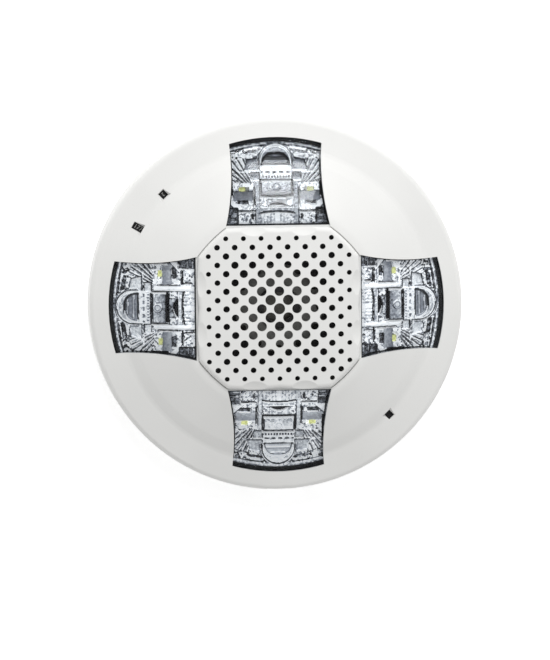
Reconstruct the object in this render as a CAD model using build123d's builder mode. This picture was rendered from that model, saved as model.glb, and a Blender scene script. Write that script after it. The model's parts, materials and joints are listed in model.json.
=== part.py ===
from build123d import *
import os
from math import atan2, cos, degrees, radians, sin, sqrt

# A round horn strobe for a ceiling: a mounting plate that stays on the electrical box, and a
# head that hooks on to the plate's edge, swings up to it and snaps shut. The head holds a
# sounder behind a perforated grille, four strobe arms with clear lenses, and three selector
# dials whose settings show through windows in the cover.
# Millimetres. The rear face of the plate is Z = 0, the face looks along +Z, the hooks are at
# +Y and the release slot is at -Y.

# ---- Driving dimensions -------------------------------------------------------------------

# Head, outside
diameter = 172.7
height = 38.0
wall = 2.0
rim_gap = 1.5
skirt_draft = 0.8
roll_radius = 3.0
shoulder_drop = 21.8
band_rise = 3.7
band_width = 14.4
step_rise = 3.3
step_width = 5.5
step_blend = 8.0
deck_drop = 4.5
deck_r = 45.5
deck_blend = 10.0

# Lens openings, four in a cross
arm_turns = {"right": 0, "top": 90, "left": 180, "bottom": 270}
arm_margin = 9.4
arm_root_half = 23.6
arm_waist_half = 20.55
arm_waist_share = 0.6
arm_tip_half = 21.15
lens_thick = 1.8
lens_depth = 3.3
lens_flange = 1.6
lens_gap = 0.35
lens_tip_gap = 1.0

# Grille
grille_half = 37.0
grille_dip = 0.6
grille_corner_reach = 43.1
grille_wall = 1.8
grille_sag = 1.5
grille_roll = 2.4
grille_gap = 0.5
seat_depth = 1.0
scoop_r = 20.0
scoop_inset = 4.3
scoop_half = 8.5
scoop_drop = 1.2
hole_half_pitch = 3.99
hole_rings = 8
hole_centre_d = 5.1
hole_step_d = 0.355
sound_opening_r = 31.0
screen_thick = 0.5
screen_opening_r = 20.0

# Setting windows and dials: each one's direction from the centre and its window's length
window_width = 3.2
window_bevel = 0.7
window_bevel_depth = 1.2
window_inset = 13.7
dial_settings = {
    "volume_dial": {"turn": 135.0, "window": 3.3},
    "candela_dial": {"turn": 150.0, "window": 5.6},
    "tone_dial": {"turn": -45.0, "window": 3.3},
}
dial_r = 7.6
dial_thick = 1.4
dial_reading_r = 4.7
dial_hub_r = 3.0
shaft_r = 2.0
shaft_clearance = 0.05
shaft_stub = 0.9
driver_slot = 0.9
driver_slot_depth = 0.7
selector_size = 9.0
selector_gap = 0.1

# Mounting plate
plate_gap = 2.35
plate_base = 2.5
plate_rim_wall = 2.0
plate_rim_height = 3.0
plate_rib = 1.6
plate_rib_height = 2.5
plate_rib_ring_r = 58.0
plate_rib_count = 12
wire_opening = (44.0, 30.0)
wire_opening_y = 12.0
single_gang_span = 83.3
octagon_span = 88.9
double_gang_spacing = 46.0
box_screw_r = 2.1
box_screw_slot = 7.0

# Hooks and bars
hinge_inset = 7.35
hinge_z = 3.0
bar_r = 1.3
bar_clearance = 0.1
hook_wall = 1.3
hook_width = 12.0
hook_side_gap = 0.4
hook_spacing = 22.0
lug_width = 1.6
lug_reach = 1.6
lug_cover = 0.4
neck_thick = 1.8
window_margin = 0.6

# Catch and release
catch_width = 12.0
catch_thick = 1.8
catch_clearance = 0.3
nose_height = 2.6
slot_width = 10.0
slot_height = 3.6
slot_top_above_shoulder = -1.0
slit_width = 1.8
slit_spacing = 29.6
slit_height = 13.5

# Rear housing
housing_z = 7.5
housing_floor = 2.0
housing_gap = 2.5
housing_wall = 2.0
housing_depth = 6.5
boss_r = 3.2
boss_inset = 12.4
boss_turns = (64.0, 116.0, 244.0, 296.0)
screw_r = 1.4
screw_head_r = 2.8
screw_head = 1.6
screw_length = 8.0
screw_clearance = 0.05
screw_hole_gap = 0.2

# Main board
standoff = 2.5
standoff_r = 3.0
standoff_reach = 41.0
standoff_hole_depth = 1.5
board_thick = 1.6
board_inset = 9.4
board_screw_r = 1.0
board_screw_head_r = 2.0
board_screw_head = 1.2
coil_place = (60.0, 235.0)
coil_r = 5.5
coil_core_r = 4.4
coil_flange = 1.2
coil_winding = 3.6

# Terminals
terminal_y = -18.0
terminal_size = (36.0, 18.0)
terminal_height = 6.5
terminal_ways = 4
terminal_pitch = 8.4
terminal_well = (6.6, 7.4)
terminal_margin = 3.0
terminal_floor = 2.5
terminal_bite = 1.25
clamp_thick = 1.5
clamp_gap = 0.3
blade_thick = 0.4
blade_size = (5.0, 7.0)
pin_r = 0.8
pin_gap = 0.4
pin_tail = 0.6

# Inner frame, light units and sounder
frame_gap = 0.8
frame_floor = 1.2
frame_wall = 1.6
frame_foot_r = 2.0
frame_foot_reach = 28.0
frame_lip = 0.6
lens_seat_gap = 0.05
led_board_rise = 4.0
led_board_thick = 1.2
led_board_half = 19.0
led_board_margin = 2.0
led_board_length = 20.0
led_reach = 53.5
led_offset = 16.8
led_size = (2.3, 5.3, 1.0)
reflector_wall = 1.0
reflector_gap = 0.3
reflector_reach = 61.0
reflector_apron_reach = 69.0
reflector_drop = 4.0
sounder_r = 28.0
sounder_wall = 1.6
sounder_height = 11.4
disc_thick = 0.5
disc_ledge = 2.4
disc_ledge_z = 6.0
cap_thick = 1.5
cap_ring_r = 10.0
cap_ring_height = 2.2
cap_ring_taper = 20.0
cap_port_r = 1.8
cap_port_reach = 19.0
cap_port_count = 12

# ---- Values worked out from them ----------------------------------------------------------

rim_r = diameter / 2
shoulder_z = height - shoulder_drop
step_foot_r = rim_r - band_width
step_foot_z = shoulder_z + band_rise
step_head_r = step_foot_r - step_width
step_head_z = step_foot_z + step_rise
deck_z = height - deck_drop
seat_z = deck_z - seat_depth
grille_side_half = arm_root_half
arm_start = grille_half + grille_gap
arm_reach = rim_r - arm_margin
plate_r = rim_r - wall - plate_gap
hinge_y = rim_r - hinge_inset
housing_r = rim_r - wall - skirt_draft - housing_gap
housing_top = housing_z + housing_floor
boss_reach = rim_r - boss_inset
board_z = housing_top + standoff
board_top = board_z + board_thick
board_r = rim_r - board_inset
window_reach = rim_r - window_inset
dial_reach = window_reach - dial_reading_r
dial_top = shoulder_z
terminal_top = plate_base + terminal_height
frame_z = board_top + frame_gap
frame_top = frame_z + frame_floor
led_board_z = frame_top + led_board_rise
led_board_top = led_board_z + led_board_thick
sounder_top = frame_top + sounder_height


def at(reach, turn):
    """Point at a distance from the centre in a direction, in plan."""
    return (reach * cos(radians(turn)), reach * sin(radians(turn)))


# ---- Shared outlines ----------------------------------------------------------------------


def crown_points(inset):
    """Outline of the head from rim to axis as (radius, height), moved inwards by inset."""
    outline = [
        Vector(rim_r, rim_gap),
        Vector(rim_r - skirt_draft, shoulder_z),
        Vector(step_foot_r, step_foot_z),
        Vector(step_head_r, step_head_z),
        Vector(deck_r, deck_z),
        Vector(0, deck_z),
    ]
    inward = [(b - a).normalized().rotate(Axis.Z, 90) for a, b in zip(outline, outline[1:])]
    first = outline[0] + inward[0] * inset
    corners = [
        corner + (before + after) * (inset / (1 + before.dot(after)))
        for corner, before, after in zip(outline[1:], inward, inward[1:])
    ]
    return [first, *corners, outline[-1] + inward[-1] * inset]


def crown(inset):
    """Solid that fills the head's outline, moved inwards by inset, down to Z = 0."""
    radii = [
        max(roll_radius - inset, 0),
        step_blend + inset,
        step_blend - inset,
        deck_blend - inset,
    ]
    with BuildPart() as solid:
        with BuildSketch(Plane.XZ):
            with BuildLine():
                profile = FilletPolyline(*crown_points(inset), radius=radii)
                Polyline(profile @ 1, (0, 0), ((profile @ 0).X, 0), profile @ 0)
            make_face()
        revolve(axis=Axis.Z)
    return solid.part


def arm_outline(grow):
    """Lens opening along +X, moved outwards by grow: hollow sides and a round outer end."""
    tip_reach = arm_reach + grow
    tip_half = arm_tip_half + grow
    tip_x = sqrt(tip_reach**2 - tip_half**2)
    waist_x = arm_start + arm_waist_share * (arm_reach - arm_start)
    root = Vector(arm_start - grow, arm_root_half + grow)
    with BuildSketch() as outline:
        with BuildLine():
            Line((root.X, -root.Y), (root.X, root.Y))
            ThreePointArc((root.X, root.Y), (waist_x, arm_waist_half + grow), (tip_x, tip_half))
            ThreePointArc((tip_x, tip_half), (tip_reach, 0), (tip_x, -tip_half))
            ThreePointArc((tip_x, -tip_half), (waist_x, -arm_waist_half - grow), (root.X, -root.Y))
        make_face()
    return outline.sketch


def grille_outline(grow):
    """Eight-sided outline of the grille: slightly bowed corners, and two shallow lobes on each side."""
    low = grille_half - grille_dip
    side = [
        (-grille_side_half, low),
        (-grille_side_half / 2, grille_half),
        (0, low),
        (grille_side_half / 2, grille_half),
        (grille_side_half, low),
    ]
    with BuildSketch() as outline:
        with BuildLine():
            for turn in arm_turns.values():
                points = [Vector(*point).rotate(Axis.Z, -turn) for point in side]
                bulge = Vector(*at(grille_corner_reach, 45 - turn))
                following = Vector(low, grille_side_half).rotate(Axis.Z, -turn)
                ThreePointArc(*points[:3])
                ThreePointArc(*points[2:])
                ThreePointArc(points[-1], bulge, following)
        make_face()
        if grow:
            offset(amount=grow)
    return outline.sketch


skin = crown(0)
under_wall = crown(wall)
under_lens = crown(lens_depth)
os.makedirs("parts", exist_ok=True)


def finish(builder, name):
    """Label the piece and write it out."""
    builder.part.label = name
    export_step(builder.part, f"parts/{name}.step")


# ---- Front cover --------------------------------------------------------------------------

slot_top = shoulder_z + slot_top_above_shoulder
slot_z = slot_top - slot_height
bevel_slope = degrees(atan2(window_bevel, window_bevel_depth))

with BuildPart() as front_cover:
    add(skin)
    add(under_wall, mode=Mode.SUBTRACT)
    split(bisect_by=Plane.XY.offset(rim_gap), keep=Keep.TOP)
    # Seat for the grille, open to the lens openings on its four sides
    with BuildSketch(Plane.XY.offset(seat_z)):
        add(grille_outline(grille_gap))
        Rectangle(2 * grille_side_half, 2 * arm_start)
        Rectangle(2 * arm_start, 2 * grille_side_half)
    extrude(amount=height - seat_z, mode=Mode.SUBTRACT)
    with BuildSketch(Plane.XY.offset(deck_z - 2 * wall)):
        Circle(sound_opening_r)
    extrude(amount=2 * wall, mode=Mode.SUBTRACT)
    for turn in arm_turns.values():
        with BuildSketch(Plane.XY.offset(board_top).rotated((0, 0, turn))):
            add(arm_outline(0))
        extrude(amount=height, mode=Mode.SUBTRACT)
    # Setting windows, each at the foot of a bevelled recess
    for dial in dial_settings.values():
        window_z = step_foot_z - window_bevel_depth
        window = (dial["window"], window_width)
        window_plane = Plane.XY.offset(window_z).rotated((0, 0, dial["turn"]))
        with BuildSketch(window_plane) as opening:
            with Locations((window_reach, 0)):
                Rectangle(*window)
        extrude(amount=-2 * wall, mode=Mode.SUBTRACT)
        extrude(opening.sketch, amount=wall, taper=-bevel_slope, mode=Mode.SUBTRACT)
    # Screw bosses, down to the rear housing
    with BuildSketch(Plane.XY.offset(housing_top)):
        with Locations(*[at(boss_reach, turn) for turn in boss_turns]):
            Circle(boss_r)
    extrude(until=Until.NEXT)
    with BuildSketch(Plane.XY.offset(housing_top)):
        with Locations(*[at(boss_reach, turn) for turn in boss_turns]):
            Circle(screw_r + screw_clearance)
    extrude(amount=screw_length - housing_floor + screw_clearance, mode=Mode.SUBTRACT)
    # Release tongue between two slits, with the release slot through its upper edge
    with BuildSketch(Plane.XZ.offset(rim_r - 2 * wall - skirt_draft)):
        with Locations((-slit_spacing / 2, rim_gap), (slit_spacing / 2, rim_gap)):
            Rectangle(slit_width, slit_height, align=(Align.CENTER, Align.MIN))
        with Locations((0, slot_z)):
            Rectangle(slot_width, slot_height, align=(Align.CENTER, Align.MIN))
    extrude(amount=3 * wall, mode=Mode.SUBTRACT)
finish(front_cover, "front_cover")

# ---- Speaker grille -----------------------------------------------------------------------

grille_dome_r = (grille_half**2 + grille_sag**2) / (2 * grille_sag)


def grille_block(inset):
    """Grille outline moved inwards by inset, under a shallow dome lowered by the same."""
    with BuildPart() as block:
        with BuildSketch(Plane.XY.offset(seat_z)):
            add(grille_outline(-inset))
        extrude(amount=height - seat_z)
        with Locations((0, 0, height - grille_dome_r)):
            Sphere(grille_dome_r - inset, mode=Mode.INTERSECT)
    return block.part


def scoop_centres():
    """Centres of the balls that scoop the rolled edge, two on each side."""
    plan_r = (scoop_half**2 + scoop_inset**2) / (2 * scoop_inset)
    out = grille_half - scoop_inset + plan_r
    up = height - scoop_drop + sqrt(scoop_r**2 - plan_r**2)
    centres = []
    for turn in arm_turns.values():
        for along in (-grille_side_half / 2, grille_side_half / 2):
            centres.append(Vector(out, along, up).rotate(Axis.Z, turn))
    return centres


def ring_points(ring):
    """Places of the sound holes on one square ring of the staggered pattern."""
    steps = range(-ring, ring + 1)
    places = [(i, j) for i in steps for j in steps if max(abs(i), abs(j)) == ring]
    kept = [(i, j) for i, j in places if (i + j) % 2 == 0 and abs(i) + abs(j) < 2 * hole_rings]
    return [(i * hole_half_pitch, j * hole_half_pitch) for i, j in kept]


grille_outside = grille_block(0)
grille_inside = grille_block(grille_wall)
with BuildPart() as speaker_grille:
    add(grille_outside)
    rolled = speaker_grille.edges().filter_by(lambda edge: edge.center().Z > deck_z)
    fillet(rolled, radius=grille_roll)
    with Locations(*scoop_centres()):
        Sphere(scoop_r, mode=Mode.SUBTRACT)
    add(grille_inside, mode=Mode.SUBTRACT)
    with BuildSketch(Plane.XY.offset(deck_z)):
        for ring in range(hole_rings + 1):
            with Locations(*ring_points(ring)):
                Circle((hole_centre_d - hole_step_d * ring) / 2)
    extrude(amount=height, mode=Mode.SUBTRACT)
finish(speaker_grille, "speaker_grille")

with BuildPart() as dust_screen:
    with BuildSketch(Plane.XY.offset(seat_z)):
        add(grille_outline(-grille_wall - grille_gap))
        Circle(screen_opening_r, mode=Mode.SUBTRACT)
    extrude(amount=screen_thick)
finish(dust_screen, "dust_screen")

# ---- Lenses -------------------------------------------------------------------------------

under_lens_skin = crown(lens_thick)
for name, turn in arm_turns.items():
    arm_plane = Plane.XY.offset(board_top).rotated((0, 0, turn))
    with BuildPart() as lens_flange_part:
        with BuildSketch(arm_plane):
            add(arm_outline(lens_flange))
        extrude(amount=height)
        add(under_wall, mode=Mode.INTERSECT)
    with BuildPart() as lens_hollow:
        with BuildSketch(arm_plane):
            add(arm_outline(-lens_flange - lens_gap))
        extrude(amount=height)
        add(under_lens_skin, mode=Mode.INTERSECT)
    with BuildPart() as lens:
        with BuildSketch(arm_plane):
            add(arm_outline(-lens_gap))
            Circle(arm_reach - lens_tip_gap, mode=Mode.INTERSECT)
        extrude(amount=height)
        add(skin, mode=Mode.INTERSECT)
        add(lens_flange_part.part)
        add(lens_hollow.part, mode=Mode.SUBTRACT)
        add(under_lens, mode=Mode.SUBTRACT)
    finish(lens, f"lens_{name}")

# ---- Inner frame --------------------------------------------------------------------------

under_frame = crown(lens_depth + lens_seat_gap)
frame_reach = arm_reach + frame_lip
with BuildPart() as inner_frame:
    # Arm walls stand on one floor that also carries the sounder and closes the gaps round the lenses
    for turn in arm_turns.values():
        with BuildSketch(Plane.XY.offset(frame_z).rotated((0, 0, turn))):
            add(arm_outline(frame_wall - lens_gap))
            Circle(frame_reach, mode=Mode.INTERSECT)
        extrude(amount=height)
    with BuildSketch(Plane.XY.offset(frame_z)):
        Circle(arm_start)
    extrude(amount=frame_floor)
    add(under_frame, mode=Mode.INTERSECT)
    for turn in arm_turns.values():
        with BuildSketch(Plane.XY.offset(frame_top).rotated((0, 0, turn))):
            add(arm_outline(-lens_gap))
        extrude(amount=height, mode=Mode.SUBTRACT)
        # Two rails under each light board
        rail_length = led_board_length - led_board_margin
        with BuildSketch(Plane.XY.offset(frame_top).rotated((0, 0, turn))):
            with Locations((arm_start + led_board_margin + rail_length / 2, 0)):
                with GridLocations(1, led_board_half, 1, 2):
                    Rectangle(rail_length, frame_wall)
        extrude(amount=led_board_rise)
    # Ring round the sounder, and feet on the main board
    with BuildSketch(Plane.XY.offset(frame_top)):
        Circle(sounder_r + reflector_gap + frame_wall)
        Circle(sounder_r + reflector_gap, mode=Mode.SUBTRACT)
    extrude(amount=sounder_height - disc_ledge)
    with BuildSketch(Plane.XY.offset(frame_z)):
        with PolarLocations(frame_foot_reach, 4, start_angle=45):
            Circle(frame_foot_r)
    extrude(amount=-frame_gap)
finish(inner_frame, "inner_frame")

# ---- Light boards, light-emitting diodes and reflectors -----------------------------------

under_reflector = crown(reflector_drop)
board_start = arm_start + led_board_margin
led_length, led_width, led_height = led_size
for name, turn in arm_turns.items():
    board_plane = Plane.XY.offset(led_board_z).rotated((0, 0, turn))
    with BuildPart() as led_board:
        with BuildSketch(board_plane):
            with Locations((board_start + led_board_length / 2, 0)):
                Rectangle(led_board_length, 2 * led_board_half)
        extrude(amount=led_board_thick)
    finish(led_board, f"led_board_{name}")

    tray_plane = Plane.XY.offset(led_board_top).rotated((0, 0, turn))
    with BuildPart() as leds:
        with BuildSketch(tray_plane):
            with Locations((led_reach, -led_offset), (led_reach, led_offset)):
                Rectangle(led_length, led_width)
        extrude(amount=led_height)
    finish(leds, f"leds_{name}")

    apron_z = frame_top + reflector_gap
    with BuildPart() as reflector:
        # Tray over the light board, closed at its outer end by a riser down to the apron
        with BuildSketch(tray_plane):
            add(arm_outline(-lens_gap - reflector_gap))
            Rectangle(2 * reflector_reach, diameter, mode=Mode.INTERSECT)
        extrude(amount=height)
        with BuildSketch(Plane.XY.offset(led_board_top + reflector_wall).rotated((0, 0, turn))):
            add(arm_outline(-lens_gap - reflector_gap - reflector_wall))
        extrude(amount=height, mode=Mode.SUBTRACT)
        with BuildSketch(Plane.XY.offset(apron_z).rotated((0, 0, turn))):
            add(arm_outline(-lens_gap - reflector_gap))
            Circle(reflector_apron_reach, mode=Mode.INTERSECT)
            Rectangle(2 * reflector_reach, diameter, mode=Mode.SUBTRACT)
        extrude(amount=reflector_wall)
        with BuildSketch(Plane.XY.offset(apron_z).rotated((0, 0, turn))):
            add(arm_outline(-lens_gap - reflector_gap))
            Rectangle(2 * (reflector_reach + reflector_wall), diameter, mode=Mode.INTERSECT)
            Rectangle(2 * reflector_reach, diameter, mode=Mode.SUBTRACT)
        extrude(amount=led_board_top + reflector_wall - apron_z)
        with BuildSketch(tray_plane):
            with Locations((led_reach, -led_offset), (led_reach, led_offset)):
                Rectangle(led_length + 2 * reflector_gap, led_width + 2 * reflector_gap)
        extrude(amount=reflector_wall, mode=Mode.SUBTRACT)
        add(under_reflector, mode=Mode.INTERSECT)
    finish(reflector, f"reflector_{name}")

# ---- Sounder ------------------------------------------------------------------------------

disc_z = frame_top + disc_ledge_z
with BuildPart() as sounder_case:
    with BuildSketch(Plane.XY.offset(frame_top)):
        Circle(sounder_r)
    extrude(amount=sounder_height)
    with BuildSketch(Plane.XY.offset(frame_top + sounder_wall)):
        Circle(sounder_r - sounder_wall - disc_ledge)
    extrude(amount=sounder_height, mode=Mode.SUBTRACT)
    with BuildSketch(Plane.XY.offset(disc_z)):
        Circle(sounder_r - sounder_wall)
    extrude(amount=sounder_height, mode=Mode.SUBTRACT)
finish(sounder_case, "sounder_case")

with BuildPart() as sounder_disc:
    with BuildSketch(Plane.XY.offset(disc_z)):
        Circle(sounder_r - sounder_wall - reflector_gap)
    extrude(amount=disc_thick)
finish(sounder_disc, "sounder_disc")

with BuildPart() as sounder_cap:
    with BuildSketch(Plane.XY.offset(sounder_top)):
        Circle(sounder_r)
    extrude(amount=cap_thick)
    with BuildSketch(Plane.XY.offset(sounder_top + cap_thick)):
        Circle(cap_ring_r)
    extrude(amount=cap_ring_height, taper=cap_ring_taper)
    with BuildSketch(Plane.XY.offset(sounder_top)):
        Circle(cap_ring_r - 2 * cap_thick)
        with PolarLocations(cap_port_reach, cap_port_count):
            Circle(cap_port_r)
    extrude(amount=height, mode=Mode.SUBTRACT)
finish(sounder_cap, "sounder_cap")

# ---- Rear housing -------------------------------------------------------------------------

standoff_places = [at(standoff_reach, 45 + 90 * quarter) for quarter in range(4)]
dial_places = {name: at(dial_reach, dial["turn"]) for name, dial in dial_settings.items()}
boss_places = [at(boss_reach, turn) for turn in boss_turns]
catch_y = -(plate_r - catch_thick)
hook_r = bar_r + bar_clearance + hook_wall

with BuildPart() as rear_housing:
    with BuildSketch(Plane.XY.offset(housing_z)):
        Circle(housing_r)
    extrude(amount=housing_depth)
    with BuildSketch(Plane.XY.offset(housing_top)):
        Circle(housing_r - housing_wall)
    extrude(amount=housing_depth, mode=Mode.SUBTRACT)
    with BuildSketch(Plane.XY.offset(housing_top)):
        with Locations(*standoff_places):
            Circle(standoff_r)
    extrude(amount=standoff)
    with BuildSketch(Plane.XY.offset(housing_top - standoff_hole_depth)):
        with Locations(*standoff_places):
            Circle(board_screw_r + screw_clearance)
    extrude(amount=housing_depth, mode=Mode.SUBTRACT)
    with BuildSketch(Plane.XY.offset(housing_z)):
        with Locations(*boss_places):
            Circle(screw_r + screw_hole_gap)
        with Locations(*dial_places.values()):
            Circle(shaft_r + shaft_clearance)
        with Locations((0, terminal_y)):
            Rectangle(terminal_size[0] + 2 * terminal_margin, terminal_size[1] + 2 * terminal_margin)
        with Locations((0, catch_y + catch_thick)):
            Rectangle(catch_width + 2 * catch_thick, 2 * catch_thick, align=(Align.CENTER, Align.MAX))
            Rectangle(catch_width + 2 * catch_thick, 2 * catch_thick)
    extrude(amount=housing_floor, mode=Mode.SUBTRACT)
    with BuildSketch(Plane.XY.offset(housing_z)):
        with Locations((0, catch_y + 2 * catch_thick)):
            Rectangle(catch_width + 2 * catch_thick, 6 * catch_thick, align=(Align.CENTER, Align.MAX))
    extrude(amount=housing_depth, mode=Mode.SUBTRACT)
    # Hooks that hold the plate's bars, open outwards, each on a neck from the floor
    for side in (-1, 1):
        inner_face = side * hook_spacing / 2 - hook_width / 2
        with BuildSketch(Plane.YZ.offset(inner_face)):
            with Locations((hinge_y, hinge_z)):
                Circle(hook_r)
                Circle(bar_r + bar_clearance, mode=Mode.SUBTRACT)
                with Locations((0, 0)):
                    Rectangle(
                        hook_r,
                        2 * (bar_r + bar_clearance),
                        align=(Align.MIN, Align.CENTER),
                        mode=Mode.SUBTRACT,
                    )
            with Locations((hinge_y - hook_r, hinge_z + bar_r + bar_clearance)):
                Rectangle(
                    neck_thick,
                    housing_z - hinge_z - bar_r - bar_clearance,
                    align=(Align.MIN, Align.MIN),
                )
        extrude(amount=hook_width)
finish(rear_housing, "rear_housing")

# ---- Main board and what is on it ---------------------------------------------------------

pin_x = [(way - (terminal_ways - 1) / 2) * terminal_pitch for way in range(terminal_ways)]
blade_y = terminal_y + terminal_size[1] / 4
pin_places = [(x, blade_y) for x in pin_x]

with BuildPart() as main_board:
    with BuildSketch(Plane.XY.offset(board_z)):
        Circle(board_r)
        with Locations(*boss_places):
            Circle(boss_r + frame_gap, mode=Mode.SUBTRACT)
        with Locations(*dial_places.values()):
            Circle(shaft_r + reflector_gap, mode=Mode.SUBTRACT)
        with Locations(*standoff_places):
            Circle(board_screw_r + screw_clearance, mode=Mode.SUBTRACT)
        with Locations(*pin_places):
            Circle(pin_r + screw_clearance, mode=Mode.SUBTRACT)
    extrude(amount=board_thick)
finish(main_board, "main_board")

with BuildPart() as board_screws:
    with BuildSketch(Plane.XY.offset(board_top)):
        with Locations(*standoff_places):
            Circle(board_screw_head_r)
    extrude(amount=board_screw_head)
    with BuildSketch(Plane.XY.offset(board_top)):
        with Locations(*standoff_places):
            Circle(board_screw_r)
    extrude(amount=-board_thick - standoff)
finish(board_screws, "board_screws")

with BuildPart() as contact_pins:
    with BuildSketch(Plane.XY.offset(terminal_top + blade_thick + pin_gap)):
        with Locations(*pin_places):
            Circle(pin_r)
    extrude(amount=board_top + pin_tail - terminal_top - blade_thick - pin_gap)
finish(contact_pins, "contact_pins")

with BuildPart() as selector_switches:
    for name, dial in dial_settings.items():
        with BuildSketch(Plane.XY.offset(board_z).rotated((0, 0, dial["turn"]))):
            with Locations((dial_reach, 0)):
                Rectangle(selector_size, selector_size)
                Circle(shaft_r + shaft_clearance, mode=Mode.SUBTRACT)
        extrude(amount=selector_gap - standoff)
finish(selector_switches, "selector_switches")

# Components stand in the four quarters between the arms: (reach, direction, radius, height)
capacitor_places = ((57.0, 45.0, 5.0, 8.5), (60.0, 33.0, 4.0, 7.5), (58.0, 219.0, 5.0, 8.5))
with BuildPart() as capacitors:
    for reach, turn, radius, tall in capacitor_places:
        with BuildSketch(Plane.XY.offset(board_top)):
            with Locations(at(reach, turn)):
                Circle(radius)
        extrude(amount=tall)
finish(capacitors, "capacitors")

with BuildPart() as coil:
    for flange_z in (board_top, board_top + coil_flange + coil_winding):
        with BuildSketch(Plane.XY.offset(flange_z)):
            with Locations(at(*coil_place)):
                Circle(coil_r)
        extrude(amount=coil_flange)
    with BuildSketch(Plane.XY.offset(board_top + coil_flange)):
        with Locations(at(*coil_place)):
            Circle(coil_core_r)
    extrude(amount=coil_winding)
finish(coil, "coil")

# Packages: (reach, direction, length, width, height)
chip_places = (
    (66.0, 57.0, 8.0, 6.0, 1.6),
    (50.0, 135.0, 7.0, 7.0, 1.4),
    (50.0, 315.0, 9.0, 6.0, 1.6),
    (70.0, 212.0, 5.0, 4.0, 1.4),
    (68.0, 334.0, 6.0, 4.0, 1.5),
)
with BuildPart() as board_chips:
    for reach, turn, length, width, tall in chip_places:
        with BuildSketch(Plane.XY.offset(board_top).rotated((0, 0, turn))):
            with Locations((reach, 0)):
                Rectangle(length, width)
        extrude(amount=tall)
finish(board_chips, "board_chips")

# ---- Dials --------------------------------------------------------------------------------

stub_z = housing_z - shaft_stub
for name, dial in dial_settings.items():
    centre = dial_places[name]
    with BuildPart() as dial_part:
        with BuildSketch(Plane.XY.offset(dial_top - dial_thick)):
            with Locations(centre):
                Circle(dial_r)
        extrude(amount=dial_thick)
        with BuildSketch(Plane.XY.offset(board_top + reflector_gap)):
            with Locations(centre):
                Circle(dial_hub_r)
        extrude(amount=dial_top - dial_thick - board_top - reflector_gap)
        with BuildSketch(Plane.XY.offset(stub_z)):
            with Locations(centre):
                Circle(shaft_r)
        extrude(amount=dial_top - dial_thick - stub_z)
        with BuildSketch(Plane.XY.offset(stub_z).rotated((0, 0, dial["turn"]))):
            with Locations((dial_reach, 0)):
                Rectangle(4 * shaft_r, driver_slot)
        extrude(amount=driver_slot_depth, mode=Mode.SUBTRACT)
    finish(dial_part, name)

# ---- Cover screws -------------------------------------------------------------------------

with BuildPart() as cover_screws:
    with BuildSketch(Plane.XY.offset(housing_z)):
        with Locations(*boss_places):
            Circle(screw_head_r)
    extrude(amount=-screw_head)
    with BuildSketch(Plane.XY.offset(housing_z)):
        with Locations(*boss_places):
            Circle(screw_r)
    extrude(amount=screw_length)
    for turn in (0, 90):
        with BuildSketch(Plane.XY.offset(housing_z - screw_head)):
            with Locations(*boss_places):
                Rectangle(screw_head_r, driver_slot, rotation=turn)
        extrude(amount=driver_slot_depth, mode=Mode.SUBTRACT)
finish(cover_screws, "cover_screws")

# ---- Mounting plate -----------------------------------------------------------------------

hook_inner_x = hook_spacing / 2 - hook_width / 2 - hook_side_gap
hook_outer_x = hook_spacing / 2 + hook_width / 2 + hook_side_gap
bar_end_x = hook_outer_x + lug_width
hook_window_y = hinge_y - hook_r - window_margin
lug_top = hinge_z + bar_r + lug_cover
nose_z = slot_z + catch_clearance
nose_y = -(rim_r - wall - skirt_draft - catch_clearance)

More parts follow.
